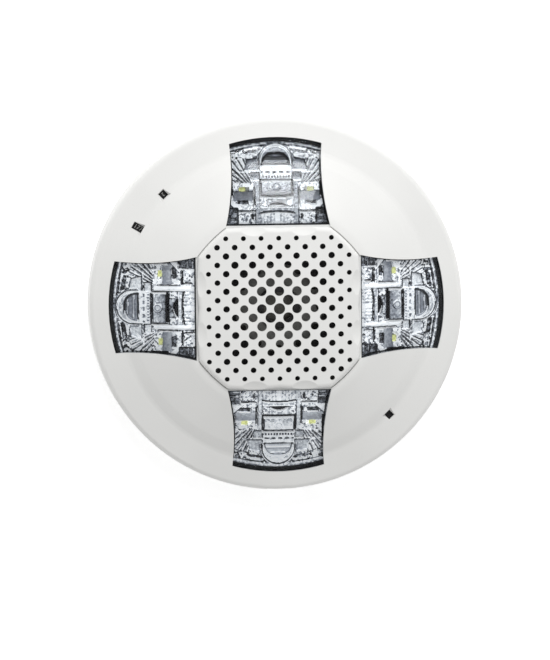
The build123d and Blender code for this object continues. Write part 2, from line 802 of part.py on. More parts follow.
with BuildPart() as mounting_plate:
    with BuildSketch():
        Circle(plate_r)
    extrude(amount=plate_base)
    with BuildSketch(Plane.XY.offset(plate_base)):
        Circle(plate_r)
        Circle(plate_r - plate_rim_wall, mode=Mode.SUBTRACT)
    extrude(amount=plate_rim_height)
    with BuildSketch(Plane.XY.offset(plate_base)):
        with PolarLocations(plate_rib_ring_r + (plate_r - plate_rib_ring_r) / 2, plate_rib_count):
            Rectangle(plate_r - plate_rib_ring_r - plate_rim_wall / 2, plate_rib)
        Circle(plate_rib_ring_r + plate_rib / 2)
        Circle(plate_rib_ring_r - plate_rib / 2, mode=Mode.SUBTRACT)
    extrude(amount=plate_rib_height)
    # Rim and base are cleared round the hooks; two bars stay, held by three lugs
    clear_width = 2 * bar_end_x + 2 * lug_width
    with BuildSketch(Plane.XY.offset(plate_base)):
        with Locations((0, hook_window_y - hook_wall)):
            Rectangle(clear_width, 2 * hinge_inset, align=(Align.CENTER, Align.MIN))
    extrude(amount=height, mode=Mode.SUBTRACT)
    for side in (-1, 1):
        with BuildSketch():
            with Locations((side * (hook_inner_x + hook_outer_x) / 2, hook_window_y)):
                Rectangle(
                    hook_outer_x - hook_inner_x, 2 * hinge_inset, align=(Align.CENTER, Align.MIN)
                )
        extrude(amount=height, mode=Mode.SUBTRACT)
    lug_depth = bar_r + lug_reach + hinge_y - hook_window_y
    with BuildSketch():
        with Locations((0, hook_window_y)):
            Rectangle(2 * hook_inner_x, lug_depth, align=(Align.CENTER, Align.MIN))
        for side in (-1, 1):
            with Locations((side * (hook_outer_x + lug_width / 2), hook_window_y)):
                Rectangle(lug_width, lug_depth, align=(Align.CENTER, Align.MIN))
    extrude(amount=lug_top)
    with BuildSketch(Plane.YZ.offset(-bar_end_x)):
        with Locations((hinge_y, hinge_z)):
            Circle(bar_r)
    extrude(amount=2 * bar_end_x)
    # Wire opening and box-screw slots
    with BuildSketch():
        with Locations((0, wire_opening_y)):
            RectangleRounded(*wire_opening, radius=plate_base)
        with GridLocations(1, single_gang_span, 1, 2):
            SlotOverall(box_screw_slot, 2 * box_screw_r, rotation=90)
        with GridLocations(octagon_span, 1, 2, 1):
            SlotOverall(box_screw_slot, 2 * box_screw_r)
        with GridLocations(double_gang_spacing, single_gang_span, 2, 2):
            SlotOverall(box_screw_slot, 2 * box_screw_r)
    extrude(amount=height, mode=Mode.SUBTRACT)
    # Springy catch at the release slot
    with BuildSketch(Plane.YZ.offset(-catch_width / 2)):
        with BuildLine():
            Polyline(
                (catch_y - catch_thick, plate_base),
                (catch_y - catch_thick, nose_z),
                (nose_y, nose_z),
                (nose_y, nose_z + nose_height / 3),
                (catch_y - catch_thick, nose_z + nose_height),
                (catch_y, nose_z + nose_height),
                (catch_y, plate_base),
                close=True,
            )
        make_face()
    extrude(amount=catch_width)
finish(mounting_plate, "mounting_plate")

# ---- Terminals on the plate ---------------------------------------------------------------

well_y = terminal_y - terminal_size[1] / 4
well_floor = plate_base + terminal_floor
with BuildPart() as terminal_block:
    with BuildSketch(Plane.XY.offset(plate_base)):
        with Locations((0, terminal_y)):
            Rectangle(*terminal_size)
    extrude(amount=terminal_height)
    with BuildSketch(Plane.XY.offset(well_floor)):
        with Locations(*[(x, well_y) for x in pin_x]):
            Rectangle(*terminal_well)
            Rectangle(terminal_well[0] / 2, terminal_size[1] / 2, align=(Align.CENTER, Align.MAX))
    extrude(amount=terminal_height, mode=Mode.SUBTRACT)
    with BuildSketch(Plane.XY.offset(well_floor - terminal_bite)):
        with Locations(*[(x, well_y) for x in pin_x]):
            Circle(screw_r + screw_clearance)
    extrude(amount=terminal_height, mode=Mode.SUBTRACT)
finish(terminal_block, "terminal_block")

with BuildPart() as terminal_clamps:
    with BuildSketch(Plane.XY.offset(well_floor)):
        with Locations(*[(x, well_y) for x in pin_x]):
            Rectangle(terminal_well[0] - 2 * clamp_gap, terminal_well[1] - 2 * clamp_gap)
            Circle(screw_r + screw_clearance, mode=Mode.SUBTRACT)
    extrude(amount=clamp_thick)
finish(terminal_clamps, "terminal_clamps")

with BuildPart() as terminal_screws:
    with BuildSketch(Plane.XY.offset(well_floor + clamp_thick)):
        with Locations(*[(x, well_y) for x in pin_x]):
            Circle(screw_head_r)
    extrude(amount=screw_head)
    with BuildSketch(Plane.XY.offset(well_floor + clamp_thick)):
        with Locations(*[(x, well_y) for x in pin_x]):
            Circle(screw_r)
    extrude(amount=-clamp_thick - terminal_bite)
    with BuildSketch(Plane.XY.offset(well_floor + clamp_thick + screw_head)):
        with Locations(*[(x, well_y) for x in pin_x]):
            Rectangle(2 * screw_head_r, driver_slot)
    extrude(amount=-driver_slot_depth, mode=Mode.SUBTRACT)
finish(terminal_screws, "terminal_screws")

with BuildPart() as contact_blades:
    with BuildSketch(Plane.XY.offset(terminal_top)):
        with Locations(*[(x, blade_y) for x in pin_x]):
            Rectangle(*blade_size)
    extrude(amount=blade_thick)
finish(contact_blades, "contact_blades")
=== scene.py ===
"""Looks of a round ceiling horn strobe: cover, grille, crystal-like optics, dials and fittings."""

import json
from math import cos, pi, radians, sin

import bmesh
import bpy
import numpy as np
from mathutils import Matrix, Vector
from mathutils.bvhtree import BVHTree

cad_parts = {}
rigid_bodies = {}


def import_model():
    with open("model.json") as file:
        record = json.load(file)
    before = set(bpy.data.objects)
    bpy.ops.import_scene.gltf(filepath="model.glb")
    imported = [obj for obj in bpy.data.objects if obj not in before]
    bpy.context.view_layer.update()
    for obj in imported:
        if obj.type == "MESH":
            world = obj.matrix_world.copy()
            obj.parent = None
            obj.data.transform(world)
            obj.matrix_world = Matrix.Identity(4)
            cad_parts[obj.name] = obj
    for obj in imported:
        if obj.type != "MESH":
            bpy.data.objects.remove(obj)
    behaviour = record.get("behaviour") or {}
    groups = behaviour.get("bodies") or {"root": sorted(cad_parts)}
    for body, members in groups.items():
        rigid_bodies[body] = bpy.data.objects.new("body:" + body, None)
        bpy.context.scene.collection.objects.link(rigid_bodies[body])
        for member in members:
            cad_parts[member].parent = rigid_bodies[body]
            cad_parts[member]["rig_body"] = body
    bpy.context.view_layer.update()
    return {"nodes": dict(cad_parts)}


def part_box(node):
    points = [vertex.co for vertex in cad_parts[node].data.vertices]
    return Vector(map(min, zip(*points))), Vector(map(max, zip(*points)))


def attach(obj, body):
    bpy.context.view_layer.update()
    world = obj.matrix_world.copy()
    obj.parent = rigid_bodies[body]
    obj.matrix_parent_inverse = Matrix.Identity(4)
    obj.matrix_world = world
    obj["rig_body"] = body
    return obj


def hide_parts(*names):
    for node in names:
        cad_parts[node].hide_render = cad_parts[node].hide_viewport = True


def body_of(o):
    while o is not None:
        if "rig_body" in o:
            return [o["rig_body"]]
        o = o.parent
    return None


bl_info = {
    "name": "Horn strobe looks",
    "version": (1, 0, 0),
    "blender": (4, 5, 0),
    "location": "3D View > Sidebar > Horn Strobe",
    "description": "Builds the visible pieces, finishes and studio of a ceiling horn strobe",
    "category": "Object",
}

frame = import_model()

MM = 0.001
HEAD = "sounder_head"
ARMS = {"right": 0, "top": 90, "left": 180, "bottom": 270}
# Painted light and shade of the optic's main faces, which differ from arm to arm with how the light falls on
# each arm, and a painted glow that the optic gives out as emission
FACE_NAMES = ("hollow", "rim", "dome", "slot", "block", "pad", "wing", "bar", "glow")
LIT_FACE_TONES = {
    "top": dict(zip(FACE_NAMES, (0.16, 0.02, 0.46, 0.0, 0.34, 0.32, 0.36, 0.50, 0.0))),
    "side": dict(zip(FACE_NAMES, (0.44, 0.22, 0.64, 0.45, 0.44, 0.46, 0.68, 0.78, 0.28))),
    "bottom": dict(zip(FACE_NAMES, (0.62, 0.10, 0.74, 0.05, 0.66, 0.52, 0.60, 0.62, 0.30))),
}
ARM_LIGHTING = {"right": "side", "top": "top", "left": "side", "bottom": "bottom"}
DIALS = {
    "candela_dial": {"turn": 150, "figures": ("177", "150", "115", "95", "75", "30", "15"), "step": 45},
    "volume_dial": {"turn": 135, "figures": ("2", "1", "3"), "step": 45},
    "tone_dial": {"turn": -67.5, "figures": ("1", "2", "3", "4"), "step": 45},
}


# ---- Sizes and colours a user would change --------------------------------------------------


def colour_prop(name, description, default):
    return bpy.props.FloatVectorProperty(
        name=name, description=description, default=default, size=4, min=0, max=1, subtype="COLOR"
    )


def length_prop(name, description, default):
    return bpy.props.FloatProperty(
        name=name, description=description, default=default, subtype="DISTANCE", unit="LENGTH"
    )


class HornPlasticSettings(bpy.types.PropertyGroup):
    white: colour_prop("White", "Colour of the moulded cover and grille", (0.80, 0.80, 0.785, 1))
    black: colour_prop("Black", "Colour of the inner frame and dials", (0.012, 0.012, 0.013, 1))
    grain: length_prop("Grain", "Size of the moulding's fine texture", 0.00035)


class HornOpticSettings(bpy.types.PropertyGroup):
    bright: colour_prop("Bright", "Lit facets of the optics", (0.98, 0.985, 1.0, 1))
    dark: colour_prop("Dark", "Shaded facets of the optics", (0.006, 0.006, 0.008, 1))
    phosphor: colour_prop("Phosphor", "Yellow cap of a light-emitting diode", (0.80, 0.82, 0.34, 1))
    mesh_step: length_prop("Mesh step", "Spacing of the optic's surface points", 0.00025)
    clearance: length_prop("Clearance", "Gap between the optic and the lens", 0.0002)


class HornDialSettings(bpy.types.PropertyGroup):
    ink: colour_prop("Figures", "Colour of the dial figures", (0.78, 0.78, 0.76, 1))
    figure_height: length_prop("Figure height", "Height of a dial figure", 0.0022)
    reading_radius: length_prop("Reading radius", "Distance of the figures from the dial's centre", 0.0047)


class HornScrewSettings(bpy.types.PropertyGroup):
    head_radius: length_prop("Head radius", "Radius of a cover or terminal screw's head", 0.0028)
    head_height: length_prop("Head height", "Height of a cover or terminal screw's head", 0.0016)
    shank_radius: length_prop("Shank radius", "Radius of a cover or terminal screw's shank", 0.0014)
    slot_width: length_prop("Slot width", "Width of the driver slot", 0.0007)
    board_scale: bpy.props.FloatProperty(
        name="Board screw", description="Size of a board screw next to a cover screw", default=0.71
    )


class HornStageSettings(bpy.types.PropertyGroup):
    floor: colour_prop("Floor", "Colour of the studio floor", (0.97, 0.97, 0.97, 1))
    distance: length_prop("Camera distance", "Distance from the camera to the part", 1.6)
    lens: bpy.props.FloatProperty(name="Lens", description="Focal length", default=190.4, unit="CAMERA")
    key_power: bpy.props.FloatProperty(name="Key power", description="Power of the key light", default=7.2)
    fill_power: bpy.props.FloatProperty(name="Fill power", description="Power of the fill light", default=0.6)
    sky: bpy.props.FloatProperty(name="Sky", description="Strength of the even studio light", default=0.53)


SETTINGS = {
    "horn_plastic": HornPlasticSettings,
    "horn_optic": HornOpticSettings,
    "horn_dial": HornDialSettings,
    "horn_screw": HornScrewSettings,
    "horn_stage": HornStageSettings,
}


def chosen(name):
    """The current values of one group of settings."""
    return getattr(bpy.context.scene, name)


# ---- Shader maths ---------------------------------------------------------------------------


class Value:
    """A shader socket whose arithmetic adds Math nodes."""

    def __init__(self, tree, socket):
        self.tree, self.socket = tree, socket

    def _math(self, operation, first, second=None):
        return self.tree.node("ShaderNodeMath", {"operation": operation}, {0: first, 1: second})

    def __add__(self, other):
        return self._math("ADD", self, other)

    def __sub__(self, other):
        return self._math("SUBTRACT", self, other)

    def __mul__(self, other):
        return self._math("MULTIPLY", self, other)

    def __rsub__(self, other):
        return self._math("SUBTRACT", other, self)

    __radd__ = __add__
    __rmul__ = __mul__


class Material:
    """A node material with a Principled shader, built in one pass."""

    def __init__(self, name, colour, roughness=0.5, metallic=0.0, **constants):
        self.data = bpy.data.materials.new(name)
        self.data.use_nodes = True
        self.data.diffuse_color = colour
        self.nodes, self.links = self.data.node_tree.nodes, self.data.node_tree.links
        self.shader = self.nodes["Principled BSDF"]
        self.set("Base Color", colour)
        self.set("Roughness", roughness)
        self.set("Metallic", metallic)
        for socket, value in constants.items():
            self.set(socket.replace("_", " "), value)

    def set(self, socket, value):
        if isinstance(value, Value):
            self.links.new(value.socket, self.shader.inputs[socket])
        else:
            self.shader.inputs[socket].default_value = value

    def node(self, kind, settings=None, values=None, output=0):
        """Add a node: its settings first, then the values or links of its sockets."""
        made = self.nodes.new(kind)
        for key, value in (settings or {}).items():
            if key == "stops":
                ramp = made.color_ramp
                while len(ramp.elements) < len(value):
                    ramp.elements.new(0.5)
                for element, (position, shade) in zip(ramp.elements, value):
                    element.position = position
                    element.color = shade if len(shade) == 4 else (*shade, 1)
            else:
                setattr(made, key, value)
        for key, value in (values or {}).items():
            if isinstance(value, Value):
                self.links.new(value.socket, made.inputs[key])
            elif value is not None:
                made.inputs[key].default_value = value
        return Value(self, made.outputs[output])

    def place(self, scale=(1, 1, 1), turn=(0, 0, 0)):
        """Object coordinates, scaled and turned."""
        coordinates = self.node("ShaderNodeTexCoord", output="Object")
        return self.node(
            "ShaderNodeMapping", None, {"Vector": coordinates, "Scale": scale, "Rotation": turn}
        )

    def noise(self, size, detail=3.0, roughness=0.5, turn=(0, 0, 0), stretch=(1, 1, 1)):
        place = self.place(stretch, turn)
        values = {"Vector": place, "Scale": 1 / size, "Detail": detail, "Roughness": roughness}
        return self.node("ShaderNodeTexNoise", None, values)

    def cells(self, size, feature="F1", stretch=(1, 1, 1), turn=(0, 0, 0)):
        values = {"Vector": self.place(stretch, turn), "Scale": 1 / size}
        return self.node("ShaderNodeTexVoronoi", {"feature": feature}, values)

    def bands(self, size, direction="X", turn=(0, 0, 0), distortion=0.0):
        values = {"Vector": self.place(turn=turn), "Scale": 1 / size, "Distortion": distortion}
        return self.node("ShaderNodeTexWave", {"bands_direction": direction}, values)

    def ramp(self, factor, stops):
        return self.node("ShaderNodeValToRGB", {"stops": stops}, {"Fac": factor})

    def span(self, value, low, high, to_low=0.0, to_high=1.0):
        values = {"Value": value, 1: low, 2: high, 3: to_low, 4: to_high}
        return self.node("ShaderNodeMapRange", None, values)

    def mix(self, factor, first, second):
        values = {"Factor": factor, 6: first, 7: second}
        return self.node("ShaderNodeMix", {"data_type": "RGBA"}, values, output=2)

    def bump(self, height, depth, strength=1.0):
        values = {"Height": height, "Distance": depth, "Strength": strength}
        self.set("Normal", self.node("ShaderNodeBump", None, values))

    def coat(self, weight, roughness=0.1):
        self.set("Coat Weight", weight)
        self.set("Coat Roughness", roughness)


def shade(colour, factor):
    """A colour made lighter or darker."""
    return (*[min(1.0, channel * factor) for channel in colour[:3]], 1)


# ---- Finishes -------------------------------------------------------------------------------


def moulded_white(name="moulded white"):
    """White fire-retardant plastic: faint flow marks, a fine grain and a soft sheen."""
    plastic = chosen("horn_plastic")
    base = plastic.white
    finish = Material(name, base, Specular_IOR_Level=0.22)
    cloud = finish.noise(0.045, 2.0)
    speck = finish.noise(plastic.grain, 1.0)
    tint = finish.mix(finish.span(cloud, 0.35, 0.65), shade(base, 0.975), shade(base, 1.015))
    finish.set("Base Color", finish.mix(finish.span(speck, 0.62, 0.8), tint, shade(base, 0.93)))
    finish.set("Roughness", finish.span(finish.noise(0.012, 3.0), 0.3, 0.7, 0.42, 0.56))
    finish.bump(finish.noise(plastic.grain, 2.0), 0.00001, 0.35)
    return finish.data


def moulded_black(name="moulded black"):
    """Black glass-filled plastic with a spark-eroded grain and pale rubbed flow lines."""
    base = chosen("horn_plastic").black
    finish = Material(name, base)
    grain = finish.cells(0.0005)
    flow = finish.noise(0.006, 3.0, stretch=(1, 4, 1))
    finish.set("Base Color", finish.mix(finish.span(flow, 0.5, 0.75), base, shade(base, 2.2)))
    finish.set("Roughness", finish.span(grain, 0.0, 0.8, 0.45, 0.7))
    finish.bump(grain, 0.00003, 0.6)
    return finish.data


def clear_lens():
    """Clear polycarbonate: it shows what is behind it and reflects more at a glancing angle."""
    finish = Material("clear lens", (1, 1, 1, 1), 0.04)
    nodes, links = finish.nodes, finish.links
    clear = finish.node("ShaderNodeBsdfTransparent", None, {"Color": (0.975, 0.985, 0.99, 1)})
    gloss = finish.node("ShaderNodeBsdfGlossy", None, {"Roughness": 0.04, "Color": (0.95, 0.97, 1, 1)})
    facing = finish.node("ShaderNodeFresnel", None, {"IOR": 1.24})
    mixed = finish.node("ShaderNodeMixShader", None, {0: facing, 1: clear, 2: gloss})
    links.new(mixed.socket, nodes["Material Output"].inputs["Surface"])
    return finish.data


def crystal():
    """Clear moulded optic: the mesh stores each facet's painted highlight and shade, its painted glints and a
    painted glow.
    """
    optic = chosen("horn_optic")
    finish = Material("moulded optic", optic.bright, 0.12, 0.0, Specular_IOR_Level=0.25)
    tone = finish.node("ShaderNodeAttribute", {"attribute_name": "tone"}, None, output="Fac")
    sparkle = finish.node("ShaderNodeAttribute", {"attribute_name": "sparkle"}, None, output="Fac")
    glint_cell_size = 0.0009
    glint_cell_values = {"Vector": finish.place(), "Scale": 1 / glint_cell_size}
    glint_cells = finish.node("ShaderNodeTexVoronoi", None, glint_cell_values, "Color")
    glint_cell = finish.node("ShaderNodeSeparateColor", None, {"Color": glint_cells})
    streak = finish.noise(0.0014, 4.0, 0.65)
    # Painted glints: cells and streaks lighten and darken each facet's painted tone
    painted_light_tone = tone + ((glint_cell - 0.5) * 0.95 + (streak - 0.5) * 0.7) * sparkle
    stops = (
        (0.0, optic.dark[:3]),
        (0.22, (0.055, 0.058, 0.064)),
        (0.44, (0.230, 0.245, 0.285)),
        (0.66, (0.64, 0.66, 0.69)),
        (0.80, optic.bright[:3]),
    )
    colour = finish.ramp(painted_light_tone, stops)
    glow = finish.node("ShaderNodeAttribute", {"attribute_name": "glow"}, None, output="Fac")
    finish.set("Base Color", colour)
    # Painted glow: the optic gives out its own colour as emission, with no lamp inside it
    finish.set("Emission Color", finish.mix(glow, (0, 0, 0, 1), colour))
    finish.set("Emission Strength", 1.0)
    finish.set("Roughness", finish.span(streak, 0.3, 0.7, 0.08, 0.3))
    finish.bump(streak * sparkle, 0.0003, 0.6)
    finish.coat(0.2, 0.06)
    return finish.data


def phosphor():
    """Yellow phosphor cap: a warm matt block with a faint grid of dice below it, and a faint painted glow
    given out as emission.
    """
    base = chosen("horn_optic").phosphor
    finish = Material("phosphor", base, 0.45)
    die_size = 0.0011
    values = {"Vector": finish.place(), "Scale": 1 / die_size, "Color1": base, "Color2": shade(base, 0.8)}
    dice = finish.node("ShaderNodeTexChecker", None, values)
    finish.set("Base Color", dice)
    # Painted glow: the phosphor gives out its own colour as a faint emission
    finish.set("Emission Color", dice)
    finish.set("Emission Strength", 0.25)
    finish.bump(finish.noise(0.0003), 0.00004, 0.4)
    return finish.data


def circuit_board(name, base, track):
    """Solder mask over fine tracks, with a mottled gloss."""
    finish = Material(name, base, 0.3)
    across = finish.span(finish.bands(0.004, "X", distortion=1.2), 0.78, 0.82)
    along = finish.span(finish.bands(0.005, "Y", distortion=1.2), 0.8, 0.84)
    region = finish.span(finish.noise(0.014, 1.0), 0.48, 0.5)
    tracks = across * region + along * (1 - region)
    finish.set("Base Color", finish.mix(tracks, base, track))
    finish.set("Roughness", finish.span(finish.noise(0.002), 0.3, 0.7, 0.22, 0.4))
    finish.bump(tracks, 0.00004, 0.7)
    return finish.data


def gauze():
    """Woven black acoustic gauze."""
    finish = Material("acoustic gauze", (0.02, 0.02, 0.021, 1), 0.75)
    warp = finish.bands(0.0022, "X")
    weft = finish.bands(0.0022, "Y")
    weave = warp * weft
    stops = ((0.0, (0.004, 0.004, 0.004)), (1.0, (0.075, 0.075, 0.08)))
    finish.set("Base Color", finish.ramp(weave, stops))
    finish.bump(weave, 0.0001)
    return finish.data


def metal(name, colour, roughness=0.28, brushed=(1, 12, 1)):
    """Plated or rolled metal with drawn lines and dull spots."""
    finish = Material(name, colour, roughness, 1.0)
    lines = finish.noise(0.0012, 4.0, stretch=brushed)
    dull = finish.noise(0.004, 3.0)
    finish.set("Base Color", finish.mix(finish.span(dull, 0.45, 0.75), colour, shade(colour, 0.72)))
    finish.set("Roughness", finish.span(lines, 0.3, 0.7, roughness - 0.08, roughness + 0.14))
    finish.bump(lines, 0.00002, 0.5)
    return finish.data


def component(name, colour, stripe, roughness=0.35, pitch=0.006):
    """A small part's sleeve, winding or package with paler lines on it."""
    finish = Material(name, colour, roughness)
    lines = finish.span(finish.bands(pitch, "Z"), 0.7, 0.9)
    finish.set("Base Color", finish.mix(lines, colour, stripe))
    finish.set("Roughness", finish.span(finish.noise(0.001), 0.3, 0.7, roughness - 0.1, roughness + 0.15))
    finish.bump(lines, 0.00005, 0.5)
    return finish.data


def ink():
    """Pale printed figures, slightly uneven."""
    base = chosen("horn_dial").ink
    finish = Material("dial ink", base, 0.5)
    worn = finish.span(finish.noise(0.0006), 0.4, 0.7)
    finish.set("Base Color", finish.mix(worn, base, shade(base, 0.75)))
    finish.bump(finish.noise(0.0003), 0.00001, 0.3)
    return finish.data


# ---- Mesh helpers ---------------------------------------------------------------------------


def new_piece(name, vertices, faces, material, body):
    """A flat-shaded mesh piece in its place, with a finish, riding on a body."""
    mesh = bpy.data.meshes.new(name)
    mesh.from_pydata([tuple(v) for v in vertices], [], faces)
    mesh.validate()
    mesh.shade_flat()
    mesh.materials.append(material)
    piece = bpy.data.objects.new(name, mesh)
    bpy.context.collection.objects.link(piece)
    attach(piece, body)
    return piece


def finish_node(node, material):
    """Give a CAD node a better material."""
    piece = frame["nodes"][node]
    if not piece.data.materials:
        piece.data.materials.append(material)
    for index in range(len(piece.data.materials)):
        piece.data.materials[index] = material


def node_centre(node):
    low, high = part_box(node)
    return (Vector(low) + Vector(high)) / 2


# ---- Strobe optics --------------------------------------------------------------------------


def band(x, low, high, edge=0.18):
    """1 between low and high, with short ramps at both ends."""
    rise = np.clip((x - low) / edge + 0.5, 0, 1)
    fall = np.clip((high - x) / edge + 0.5, 0, 1)
    return rise * fall


def zigzag(x):
    """Triangle wave of period 1 between 0 and 1."""
    return 1 - 2 * np.abs(x - np.floor(x) - 0.5)


def optic_relief(reach, across, outer, lit_tones):
    """The moulded optic at points in mm: depth below the lens, a tone from dark to bright that paints its
    highlights and shade, and the strength of its painted glints.
    """
    side = np.abs(across)
    edge = outer - np.hypot(reach, across)
    values = [np.full_like(reach, 5.0), np.full_like(reach, 0.62), np.full_like(reach, 0.8)]

    def lay(mask, *new_values):
        for index, new in enumerate(new_values):
            values[index] = values[index] * (1 - mask) + new * mask

    def pad(side_low, side_high, reach_low, reach_high, *new_values):
        lay(band(side, side_low, side_high) * band(reach, reach_low, reach_high), *new_values)

    # Wings: flat faces beside the dome, with a fan of facets out to each corner
    fan_turn = np.arctan2(side - 8.5, reach - 51.0)
    fan_away = np.hypot(side - 8.5, reach - 51.0)
    wing = band(side, 7.6, 30) * band(reach, 56.4, 90)
    pleat = zigzag(fan_turn * 7.5)
    bright = np.clip((zigzag(fan_turn * 15 + 0.02 * fan_away) - 0.45) * 4 + 0.5, 0, 1)
    lay(wing, 4.6 - 1.5 * pleat, 0.02 + 0.98 * bright, 0.7)
    lay(wing * band(fan_away, 7.5, 11.5) * band(fan_turn, 0.98, 1.22, 0.05), 6.4, 0.0, 0.2)
    lay(band(side, 7.4, 13.4 - 0.25 * (reach - 66)) * band(reach, 61.6, 70.5), 5.2, lit_tones["wing"], 0.2)
    pad(7.4, 11.6, 57.2, 60.9, 5.4, lit_tones["wing"], 0.25)
    pad(7.4, 16.5, 60.9, 61.6, 4.2, 0.86, 0.6)
    # Shelf round each diode, with a painted highlight
    pad(9.4, 23, 53.0, 56.6, 4.4, 0.86, 1.2)
    pad(19.9, 23, 50, 57, 6.5, 0.05, 0.3)
    # Flat pads and what lies between them and the grille
    pad(10.8, 19.8, 48.3, 52.9, 5.2, lit_tones["pad"] + 0.03 * (51 - reach), 0.1)
    pad(10.8, 19.8, 52.6, 53.0, 4.4, 0.98, 0.2)
    pad(10.8, 17.6, 43.9, 48.2, 4.8, 0.72, 0.7)
    pad(13.0, 18.0, 46.3, 48.2, 6.2, 0.2, 0.5)
    lay(band(side, 16.2, 24) * band(reach - 0.9 * (side - 18.6), 44.2, 47.0), 4.2, 0.96, 0.1)
    pad(10.4, 17.4, 43.2, 43.9, 6.0, 0.02, 0.3)
    pad(10.2, 17.6, 36, 43.2, 4.6, 0.74, 1.2)
    pad(10.9, 11.7, 39.4, 42.4, 6.4, 0.05, 0.2)
    pad(17.7, 24, 36, 45.0, 6.2, 0.26, 0.5)
    pad(18.3, 21.2, 40.9, 41.3, 5.6, 0.62, 0.2)
    pad(18.3, 21.2, 38.6, 39.0, 5.6, 0.62, 0.2)
    # Strip next to the grille with upright facets, below two shallow arcs
    strip_top = 43.2 - 0.012 * across**2
    facet = zigzag(across / 1.5)
    lay(band(side, -1, 8.6) * band(reach, 36, strip_top), 4.3 - 0.3 * facet, 0.56 + 0.24 * facet, 0.45)
    lay(band(side, -1, 0.9) * band(reach, 36, strip_top), 4.0, 0.98, 0.2)
    lay(band(side, -1, 8.4) * band(reach - strip_top, 0, 0.5), 6.2, 0.03, 0.1)
    lay(band(side, -1, 8.2) * band(reach - strip_top, 0.5, 2.4), 4.6, 0.62, 0.35)
    pad(-1, 7.4, 45.0, 45.5, 4.2, 0.95, 0.3)
    pad(-1, 7.4, 45.6, 49.8, 4.8, lit_tones["block"], 0.5)
    pad(4.6, 7.3, 46.0, 49.2, 4.2, 0.90, 1.2)
    moon = band(reach, 45.7, 47.6 - 0.09 * across**2)
    lay(moon * band(side, -1, 4.3), 7.0, 0.0, 0.0)
    # Bars either side of the middle, edged with grooves in painted shade
    pad(9.9, 10.6, 45.8, 54.4, 6.2, 0.02, 0.1)
    pad(7.7, 9.9, 36, 56.5, 3.6 + 0.5 * np.abs(side - 8.8), lit_tones["bar"] + 0.1 * zigzag(side / 1.1), 0.25)
    pad(7.0, 7.7, 49.6, 57.6, 6.4, 0.04, 0.2)
    # Block in the middle with its round boss
    pad(-1, 7.0, 49.7, 50.9, 6.6, 0.0, 0.05)
    pad(-1, 6.8, 50.9, 57.2, 3.6 + 0.1 * (57 - reach), lit_tones["block"] + 0.05 * (reach - 52.5), 0.3)
    pad(-1, 6.8, 56.9, 57.6, 5.4, 0.12, 0.5)
    boss = np.hypot(reach - 54.8, across)
    lay(band(boss, -1, 1.9), 3.2, lit_tones["block"] + 0.25, 0.1)
    lay(band(boss, 1.0, 1.5), 3.5, lit_tones["block"], 0.1)
    # Two rows of ribs with slots in painted shade, and the step before the dome with a painted highlight
    pad(-1, 7.4, 57.7, 63.4, 3.8, 0.90, 0.6)
    slots = band(zigzag(across / 3.1 + 0.25), 0.42, 2)
    lay(band(side, -1, 7.0) * band(reach, 60.6, 61.4) * slots, 4.3, lit_tones["slot"], 0.1)
    teeth = band(zigzag(across / 1.3), 0.4, 2)
    lay(band(side, -1, 7.0) * band(reach, 58.5, 59.5) * teeth, 4.2, lit_tones["slot"], 0.1)
    pad(-1, 7.4, 57.6, 57.9, 4.6, 0.03, 0.2)
    # Outer rim: bands that follow the end of the opening, with framed pockets
    lay(band(edge, -1, 5.6) * band(side, 4, 30), 4.6, 0.60, 1.6)
    lay(band(edge, 1.5, 2.0), 4.8, 0.04, 0.3)
    lay(band(edge, -1, 1.5), 3.9, 0.52, 0.5)
    lay(band(edge, 0.6, 0.9), 3.8, 0.92, 0.3)
    frame_side = band(side, 6.4, 14.4)
    lay(frame_side * band(edge, 2.0, 3.2), 3.4, 0.95, 0.9)
    lay(frame_side * band(edge, 3.3, 4.7), 5.6, 0.18, 1.0)
    lay(band(side, 7.6, 13.4) * band(edge, 4.8, 6.8), 3.8, 0.82, 1.3)
    lay(band(side, 6.0, 6.6) * band(edge, 1.8, 5.6), 6.0, 0.04, 0.2)
    # Round-ended dome with its hollow
    run = np.maximum(reach - 65.8, 0)
    ring = np.hypot(run, across)
    dome = band(reach, 63.4, 90)
    lay(dome * band(ring, -1, 8.7), 4.6, 0.50, 0.4)
    lay(dome * band(ring, 7.5, 7.9), 5.6, 0.15, 0.2)
    lay(dome * band(ring, -1, 7.5), 3.1 + 0.10 * ring, lit_tones["dome"], 0.35)
    lay(dome * band(ring, 6.6, 7.0), 4.0, 0.9, 0.2)
    hollow = (np.abs(across) / 6.3) ** 2.6 + (np.maximum(reach - 63.4, 0) / 6.0) ** 2.2
    lay(dome * band(hollow, -1, 1.15), 5.4, lit_tones["rim"], 0.05)
    lay(dome * band(hollow, -1, 0.86), 6.0, lit_tones["hollow"], 0.12)
    lay(dome * band(reach, 65.0, 65.9) * band(hollow, -1, 0.8), 5.4, lit_tones["hollow"] + 0.22, 0.1)
    arc = band(reach - 0.02 * across**2, 67.9, 68.3)
    lay(dome * arc * band(hollow, -1, 0.86), 5.2, lit_tones["hollow"] + 0.3, 0.1)
    return values


def outline_facets(depth, tone, light):
    """Tone with each step in depth drawn bright where it faces the light and black where it turns away."""
    padded = np.pad(depth, 2, mode="edge")
    along = (padded[3:-1, 2:-2] - padded[:-4, 2:-2]) / 2
    across = (padded[2:-2, 3:-1] - padded[2:-2, :-4]) / 2
    steepness = np.hypot(along, across)
    facing = (along * light[0] + across * light[1]) / np.maximum(steepness, 1e-6)
    line = np.clip(steepness * 2.0 - 0.3, 0, 0.85)
    return tone * (1 - line) + np.where(facing > 0.1, 1.05, 0.0) * line


def lens_skin(node):
    """A lookup of the lens's surfaces."""
    mesh = frame["nodes"][node].data
    points = [v.co.copy() for v in mesh.vertices]
    polygons = [tuple(p.vertices) for p in mesh.polygons]
    return BVHTree.FromPolygons(points, polygons)


